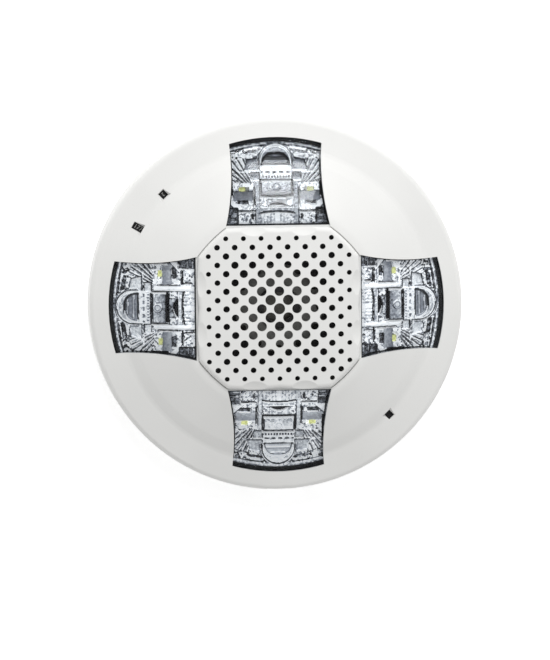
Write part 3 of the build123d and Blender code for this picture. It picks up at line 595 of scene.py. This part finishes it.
def diode_window():
    """Where a light-emitting diode shows through the optic of the arm along +X."""
    low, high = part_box("leds_right")
    board_width = high[1] - low[1]
    return {
        "reach": (low[0] + high[0]) / 2,
        "side": board_width * 0.38,
        "width": board_width * 0.115,
        "length": (high[0] - low[0]) * 0.8,
    }


def opening_half_width(skin, reach, widest, sky):
    """Half the width over which the lens stands at its full height, at a distance from the axis."""
    samples = np.linspace(widest * 0.6, widest, 120)
    hits = [skin.ray_cast(Vector((reach, side, sky)), Vector((0, 0, -1)))[0] for side in samples]
    heights = np.array([hit.z if hit else -1 for hit in hits])
    lower = np.where(heights < heights[0] - 1.2 * MM)[0]
    return samples[lower[0] - 1] if len(lower) else samples[-1]


def optic_mesh():
    """Surface points, the facets' painted highlights, shade, glints and glow for each arm, and faces of one
    optic, for the arm along +X.
    """
    optic = chosen("horn_optic")
    low, high = (Vector(corner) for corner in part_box("lens_right"))
    flange, skirt, side_gap = 1.95 * MM, 1.85 * MM, 0.3 * MM
    rim_depth, pocket_depth = 3.7, 2.1
    start, end = low.x + flange + side_gap, high.x - flange - skirt
    rows, columns = int((end - start) / optic.mesh_step), int((high.y - low.y) / optic.mesh_step)
    skin = lens_skin("lens_right")
    sky = high.z + 0.01
    # Grid that fills the opening: rows bend to its round end, columns to its hollow sides
    line = np.linspace(start, end, 24)
    widths = [opening_half_width(skin, reach, high.y, sky) - side_gap for reach in line]
    along, over = np.meshgrid(np.linspace(0, 1, rows), np.linspace(-1, 1, columns), indexing="ij")
    y_grid = over * np.interp(start + along * (end - start), line, widths)
    x_grid = start + along * (np.sqrt(end**2 - y_grid**2) - start)
    # Height: the relief hung under the lens, clear of its thick rim and of the light board
    drop = Vector((0, 0, -1))
    hits = [skin.ray_cast(Vector((x, y, sky)), drop)[0] for x, y in zip(x_grid.flat, y_grid.flat)]
    top = np.array([hit.z if hit else low.z for hit in hits]).reshape(rows, columns)
    side_border, root_border = (1 - np.abs(over)) * high.y, along * (end - start)
    side_rim, root_rim = 2.2 * MM, 1.6 * MM
    under_rim = side_border < side_rim
    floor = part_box("reflector_right")[0][2] - 0.2 * MM
    board_end, board_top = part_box("led_board_right")[1][0] + MM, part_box("led_board_right")[1][2]
    lowest = np.where(x_grid < board_end, board_top + 0.2 * MM, floor + 0.25 * MM)
    led = diode_window()
    pit = (np.abs(np.abs(y_grid) - led["side"]) < led["width"] / 2) & (
        np.abs(x_grid - led["reach"]) < led["length"] / 2
    )
    looks = {}
    for arm, turn in ARMS.items():
        depth, tone, sparkle = optic_relief(x_grid / MM, y_grid / MM, end / MM, LIT_FACE_TONES[ARM_LIGHTING[arm]])
        # Direction of the light in the arm's own frame, for the painted highlights and shade on its facet
        # edges
        light = (cos(radians(90 - turn)), sin(radians(90 - turn)))
        shaded_tone = outline_facets(depth, tone, light)
        glow = np.full_like(shaded_tone, LIT_FACE_TONES[ARM_LIGHTING[arm]]["glow"])
        looks[arm] = np.stack([shaded_tone, sparkle, glow], -1).reshape(-1, 3)
    depth = np.maximum(depth, np.where(under_rim, rim_depth, pocket_depth))
    depth = np.where(root_border < root_rim, rim_depth, depth)
    z_grid = np.maximum(top - depth * MM - optic.clearance, lowest)
    z_grid = np.where(pit, board_top + 0.2 * MM, z_grid)
    vertices = np.stack([x_grid, y_grid, z_grid], -1).reshape(-1, 3)
    index = np.arange(rows * columns).reshape(rows, columns)
    corners = (index[:-1, :-1], index[1:, :-1], index[1:, 1:], index[:-1, 1:])
    faces = np.stack(corners, -1).reshape(-1, 4).tolist()
    # Close it underneath: a level over the light board, a riser, and a lower level beyond the board
    split = int(np.argmax(x_grid[:, 0] > board_end))
    outer_path = [*index[split:, 0], *index[-1, 1:], *index[split:-1, -1][::-1]]
    inner_path = [*index[split::-1, -1], *index[0, -2:0:-1], *index[: split + 1, 0]]
    for path, level in ((inner_path, board_top + 0.05 * MM), (outer_path, floor)):
        base = len(vertices)
        vertices = np.vstack([vertices, [(*vertices[k][:2], level) for k in path]])
        plain = np.tile([0.2, 0.3, 0.0], (len(path), 1))
        looks = {arm: np.vstack([seen, plain]) for arm, seen in looks.items()}
        for k in range(len(path) - 1):
            faces.append([int(path[k]), base + k, base + k + 1, int(path[k + 1])])
        faces.append(list(range(base, base + len(path)))[::-1])
        if level == floor:
            upper = base - len(inner_path)
            faces.append([base - 1, base, base + len(path) - 1, upper])
    return vertices, looks, faces


def turned(vertices, degrees):
    """Points turned about the upright axis."""
    c, s = cos(radians(degrees)), sin(radians(degrees))
    x, y, z = vertices.T
    return np.stack([c * x - s * y, s * x + c * y, z], -1)


# ---- Operators ------------------------------------------------------------------------------


class HornOperator:
    """What every operator of this add-on shares."""

    bl_options = {"REGISTER", "UNDO"}


class HORN_OT_shell(HornOperator, bpy.types.Operator):
    """Give the cover, grille, rear housing and mounting plate their moulded finish"""

    bl_idname = "horn.shell"
    bl_label = "Moulded shell"

    def execute(self, context):
        white = moulded_white()
        for node in ("front_cover", "speaker_grille"):
            finish_node(node, white)
        rear = moulded_white("moulded white rear")
        for node in ("rear_housing", "mounting_plate"):
            finish_node(node, rear)
        finish_node("dust_screen", gauze())
        finish_node("inner_frame", moulded_black())
        return {"FINISHED"}


class HORN_OT_optics(HornOperator, bpy.types.Operator):
    """Build the four moulded optics that stand for the plain reflectors"""

    bl_idname = "horn.optics"
    bl_label = "Strobe optics"

    def execute(self, context):
        vertices, looks, faces = optic_mesh()
        material = crystal()
        for arm, turn in ARMS.items():
            piece = new_piece(f"optic_{arm}", turned(vertices, turn), faces, material, HEAD)
            for column, name in enumerate(("tone", "sparkle", "glow")):
                layer = piece.data.attributes.new(name, "FLOAT", "POINT")
                layer.data.foreach_set("value", looks[arm][:, column].astype(np.float32))
            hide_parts(f"reflector_{arm}")
        return {"FINISHED"}


class HORN_OT_lenses(HornOperator, bpy.types.Operator):
    """Finish the clear lenses, the light boards and the light-emitting diodes"""

    bl_idname = "horn.lenses"
    bl_label = "Lenses and diodes"

    def execute(self, context):
        clear = clear_lens()
        yellow = phosphor()
        board = circuit_board("white light board", (0.72, 0.73, 0.72, 1), (0.6, 0.61, 0.6, 1))
        for arm in ARMS:
            finish_node(f"lens_{arm}", clear)
            finish_node(f"leds_{arm}", yellow)
            finish_node(f"led_board_{arm}", board)
        return {"FINISHED"}


class HORN_OT_dials(HornOperator, bpy.types.Operator):
    """Finish the setting dials and print their figures"""

    bl_idname = "horn.dials"
    bl_label = "Setting dials"

    def execute(self, context):
        black = moulded_black("dial black")
        pale = ink()
        for dial, facts in DIALS.items():
            finish_node(dial, black)
            self.print_figures(dial, facts, pale)
        return {"FINISHED"}

    def print_figures(self, dial, facts, material):
        """Figures round the dial, one step apart."""
        dial_settings = chosen("horn_dial")
        centre = node_centre(dial)
        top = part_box(dial)[1][2]
        made = bmesh.new()
        for place, text in enumerate(facts["figures"]):
            curve = bpy.data.curves.new("figure", "FONT")
            curve.body = text
            curve.size = dial_settings.figure_height * 1.25
            curve.align_x, curve.align_y = "CENTER", "CENTER"
            curve.extrude = 0.02 * MM
            holder = bpy.data.objects.new("figure", curve)
            bpy.context.collection.objects.link(holder)
            depsgraph = bpy.context.evaluated_depsgraph_get()
            flat = bpy.data.meshes.new_from_object(holder.evaluated_get(depsgraph))
            turn = radians(facts["turn"] - facts["step"] * place)
            reading = pi / 2 if dial != "candela_dial" else pi
            place_matrix = (
                Matrix.Translation((centre.x, centre.y, top))
                @ Matrix.Rotation(turn, 4, "Z")
                @ Matrix.Translation((dial_settings.reading_radius, 0, 0))
                @ Matrix.Rotation(reading, 4, "Z")
            )
            flat.transform(place_matrix)
            made.from_mesh(flat)
            bpy.data.objects.remove(holder)
        mesh = bpy.data.meshes.new(f"figures_{dial}")
        bmesh.ops.remove_doubles(made, verts=made.verts, dist=1e-7)
        made.to_mesh(mesh)
        made.free()
        mesh.materials.append(material)
        piece = bpy.data.objects.new(f"figures_{dial}", mesh)
        bpy.context.collection.objects.link(piece)
        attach(piece, dial)


class HORN_OT_works(HornOperator, bpy.types.Operator):
    """Finish the sounder, the boards, the electronic parts and the terminals"""

    bl_idname = "horn.works"
    bl_label = "Inner works"

    def execute(self, context):
        brass = metal("brass", (0.72, 0.52, 0.22, 1), 0.25, (12, 1, 1))
        black, charcoal = (0.02, 0.02, 0.022, 1), (0.022, 0.022, 0.024, 1)
        finishes = {
            "main_board": circuit_board("green main board", (0.01, 0.10, 0.045, 1), (0.03, 0.2, 0.09, 1)),
            "capacitors": component("capacitor sleeve", (0.02, 0.03, 0.07, 1), (0.55, 0.56, 0.6, 1)),
            "coil": component("copper winding", (0.30, 0.12, 0.05, 1), (0.5, 0.24, 0.1, 1), 0.4, 0.0012),
            "board_chips": component("chip package", (0.015, 0.015, 0.017, 1), (0.06, 0.06, 0.065, 1), 0.5),
            "selector_switches": component("switch body", black, (0.05, 0.05, 0.055, 1), 0.5),
            "terminal_block": moulded_black("terminal black"),
            "sounder_case": moulded_black("sounder black"),
            # The sounder cap's pale bands are painted glints, seen through the grille's holes
            "sounder_cap": component("sounder cap", charcoal, (0.22, 0.22, 0.21, 1), 0.3, 0.02),
            "sounder_disc": metal("nickel disc", (0.17, 0.165, 0.15, 1), 0.3),
            "contact_pins": brass,
            "contact_blades": brass,
            "terminal_clamps": metal("zinc plate", (0.62, 0.63, 0.64, 1)),
        }
        for node, material in finishes.items():
            finish_node(node, material)
        return {"FINISHED"}


class HORN_OT_screws(HornOperator, bpy.types.Operator):
    """Set out slotted and crossed screws at the cover, boards and terminals with Geometry Nodes"""

    bl_idname = "horn.screws"
    bl_label = "Screws"

    def execute(self, context):
        screw = chosen("horn_screw")
        tree = self.screw_tree(metal("zinc plated screw", (0.62, 0.63, 0.64, 1)))
        board = screw.board_scale
        for node, size, cross, flipped in (
            ("cover_screws", 1.0, 1.0, True),
            ("board_screws", board, 1.0, False),
            ("terminal_screws", 1.0, 0.0, False),
        ):
            low, high = (Vector(corner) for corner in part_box(node))
            radius = screw.head_radius * size
            length = high.z - low.z - screw.head_height * size
            heads = self.places(low, high, radius, low.z if flipped else high.z)
            values = {
                "Head Radius": radius,
                "Head Height": screw.head_height * size,
                "Shank Radius": screw.shank_radius * size,
                "Shank Length": length,
                "Slot Width": screw.slot_width,
                "Cross": cross,
                "Flip": pi if flipped else 0.0,
            }
            self.set_out(context, node, heads, tree, values)
        return {"FINISHED"}

    def places(self, low, high, radius, z):
        """Centres of the screw heads: at the corners of a broad box, or in a row along a long one."""
        across = high.y - low.y - 2 * radius
        if across < 2 * radius:
            return [(x, (low.y + high.y) / 2, z) for x in np.linspace(low.x + radius, high.x - radius, 4)]
        columns = (low.x + radius, high.x - radius)
        rows = (low.y + radius, high.y - radius)
        return [(x, y, z) for x in columns for y in rows]

    def set_out(self, context, node, heads, tree, values):
        """Evaluate the tree on the screw places and keep the result as a plain mesh."""
        points = bpy.data.meshes.new("screw places")
        points.from_pydata(heads, [], [])
        holder = bpy.data.objects.new("screw places", points)
        context.collection.objects.link(holder)
        modifier = holder.modifiers.new("screws", "NODES")
        modifier.node_group = tree
        for item in tree.interface.items_tree:
            if item.name in values:
                modifier[item.identifier] = values[item.name]
        context.view_layer.update()
        mesh = bpy.data.meshes.new_from_object(holder.evaluated_get(context.evaluated_depsgraph_get()))
        if not mesh.polygons:
            raise RuntimeError(f"no screws were made for {node}")
        bpy.data.objects.remove(holder)
        mesh.name = f"{node}_driven"
        piece = bpy.data.objects.new(mesh.name, mesh)
        context.collection.objects.link(piece)
        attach(piece, body_of(frame["nodes"][node])[0])
        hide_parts(node)

    def screw_tree(self, material):
        """Geometry Nodes: a headed screw with one or two driver slots, set on each point."""
        tree = bpy.data.node_groups.new("horn screw", "GeometryNodeTree")
        tree.interface.new_socket("Places", in_out="INPUT", socket_type="NodeSocketGeometry")
        lengths = ("Head Radius", "Head Height", "Shank Radius", "Shank Length", "Slot Width")
        for name in (*lengths, "Cross", "Flip"):
            tree.interface.new_socket(name, in_out="INPUT", socket_type="NodeSocketFloat")
        tree.interface.new_socket("Screws", in_out="OUTPUT", socket_type="NodeSocketGeometry")
        given = tree.nodes.new("NodeGroupInput").outputs

        def node(kind, settings, values, output=0):
            made = tree.nodes.new(kind)
            for key, value in settings.items():
                setattr(made, key, value)
            for key, value in values.items():
                if isinstance(value, bpy.types.NodeSocket):
                    tree.links.new(value, made.inputs[key])
                else:
                    made.inputs[key].default_value = value
            return made.outputs[output]

        def maths(operation, first, second):
            return node("ShaderNodeMath", {"operation": operation}, {0: first, 1: second})

        def vector(x, y, z):
            return node("ShaderNodeCombineXYZ", {}, {0: x, 1: y, 2: z})

        def rod(radius, depth, sides, drop):
            shape = {"Vertices": sides, "Radius": radius, "Depth": depth}
            solid = node("GeometryNodeMeshCylinder", {}, shape)
            down = vector(0.0, 0.0, maths("MULTIPLY", drop, -1.0))
            return node("GeometryNodeTransform", {}, {"Geometry": solid, "Translation": down})

        head_radius, head_height = given["Head Radius"], given["Head Height"]
        slot_width = given["Slot Width"]
        head = rod(head_radius, head_height, 32, maths("MULTIPLY", head_height, 0.5))
        middle = maths("ADD", maths("MULTIPLY", given["Shank Length"], 0.5), head_height)
        shank = rod(given["Shank Radius"], given["Shank Length"], 20, middle)
        slot_long = maths("MULTIPLY", head_radius, 1.5)
        cross_long = maths("MAXIMUM", maths("MULTIPLY", slot_long, given["Cross"]), slot_width)
        narrow = maths("MULTIPLY", slot_width, 0.98)
        first = node("GeometryNodeMeshCube", {}, {"Size": vector(slot_long, slot_width, head_height)})
        second = node("GeometryNodeMeshCube", {}, {"Size": vector(narrow, cross_long, head_height)})
        solids = {"Mesh 1": head, "Mesh 2": first}
        cut = node("GeometryNodeMeshBoolean", {"operation": "DIFFERENCE"}, solids)
        tree.links.new(second, cut.node.inputs["Mesh 2"])
        joined = tree.nodes.new("GeometryNodeJoinGeometry")
        tree.links.new(cut, joined.inputs[0])
        tree.links.new(shank, joined.inputs[0])
        turn = vector(given["Flip"], 0.0, pi / 4)
        placed = node(
            "GeometryNodeInstanceOnPoints",
            {},
            {"Points": given["Places"], "Instance": joined.outputs[0], "Rotation": turn},
        )
        real = node("GeometryNodeRealizeInstances", {}, {"Geometry": placed})
        finished = node("GeometryNodeSetMaterial", {}, {"Geometry": real, "Material": material})
        tree.links.new(finished, tree.nodes.new("NodeGroupOutput").inputs[0])
        return tree


class HORN_OT_stage(HornOperator, bpy.types.Operator):
    """Make the floor, the soft studio light and the camera"""

    bl_idname = "horn.stage"
    bl_label = "Studio"

    def execute(self, context):
        scene = context.scene
        stage = chosen("horn_stage")
        self.floor(stage)
        world = bpy.data.worlds.new("studio")
        scene.world = world
        world.use_nodes = True
        background = world.node_tree.nodes["Background"]
        background.inputs["Color"].default_value = (1, 1, 1, 1)
        background.inputs["Strength"].default_value = stage.sky
        self.area("key", (0.11, 0.77, 0.80), 0.5, stage.key_power)
        self.area("fill", (0.9, 0.2, 1.2), 0.6, stage.fill_power)
        scene.view_settings.view_transform = "Standard"
        self.camera(scene, stage)
        return {"FINISHED"}

    def floor(self, stage):
        size, level = 4.0, -0.0002
        mesh = bpy.data.meshes.new("floor")
        corners = [(-size, -size, level), (size, -size, level), (size, size, level), (-size, size, level)]
        mesh.from_pydata(corners, [], [(0, 1, 2, 3)])
        floor = bpy.data.objects.new("floor", mesh)
        bpy.context.collection.objects.link(floor)
        pale = Material("studio floor", stage.floor, 0.9)
        pale.set("Roughness", pale.span(pale.noise(0.2), 0.3, 0.7, 0.85, 0.95))
        pale.set("Emission Color", (1.0, 1.0, 1.0, 1.0))
        pale.set("Emission Strength", 0.45)
        mesh.materials.append(pale.data)

    def area(self, name, place, size, power):
        light = bpy.data.lights.new(name, "AREA")
        light.size = size
        light.energy = power
        lamp = bpy.data.objects.new(name, light)
        lamp.location = place
        lamp.rotation_euler = (-Vector(place)).to_track_quat("-Z", "Y").to_euler()
        bpy.context.collection.objects.link(lamp)

    def camera(self, scene, stage):
        data = bpy.data.cameras.new("camera")
        data.lens = stage.lens
        data.sensor_width = 36.0
        data.clip_end = 50.0
        camera = bpy.data.objects.new("camera", data)
        bpy.context.collection.objects.link(camera)
        target = Vector((-0.0009, -0.0115, 0.018))
        back = Vector((-0.0628, 0.0962, 1.0)).normalized()
        right = Vector((0.0094, 1.0, 0.0)).cross(back).normalized()
        up = back.cross(right)
        turn = Matrix((right, up, back)).transposed().to_4x4()
        camera.matrix_world = Matrix.Translation(target + back * stage.distance) @ turn
        scene.camera = camera


class HORN_PT_panel(bpy.types.Panel):
    """Lists the steps that build the horn strobe's looks"""

    bl_idname = "HORN_PT_panel"
    bl_label = "Horn Strobe"
    bl_space_type = "VIEW_3D"
    bl_region_type = "UI"
    bl_category = "Horn Strobe"

    def draw(self, context):
        for operator in STEPS:
            self.layout.operator(operator.bl_idname)


STEPS = (
    HORN_OT_shell,
    HORN_OT_optics,
    HORN_OT_lenses,
    HORN_OT_dials,
    HORN_OT_works,
    HORN_OT_screws,
    HORN_OT_stage,
)


def register():
    for group in SETTINGS.values():
        bpy.utils.register_class(group)
    for name, group in SETTINGS.items():
        setattr(bpy.types.Scene, name, bpy.props.PointerProperty(type=group))
    for step in (*STEPS, HORN_PT_panel):
        bpy.utils.register_class(step)


def unregister():
    for step in reversed((*STEPS, HORN_PT_panel)):
        bpy.utils.unregister_class(step)
    for name in SETTINGS:
        delattr(bpy.types.Scene, name)
    for group in reversed(list(SETTINGS.values())):
        bpy.utils.unregister_class(group)


def main():
    register()
    for step in STEPS:
        area, name = step.bl_idname.split(".")
        getattr(getattr(bpy.ops, area), name)()


if __name__ == "__main__":
    main()
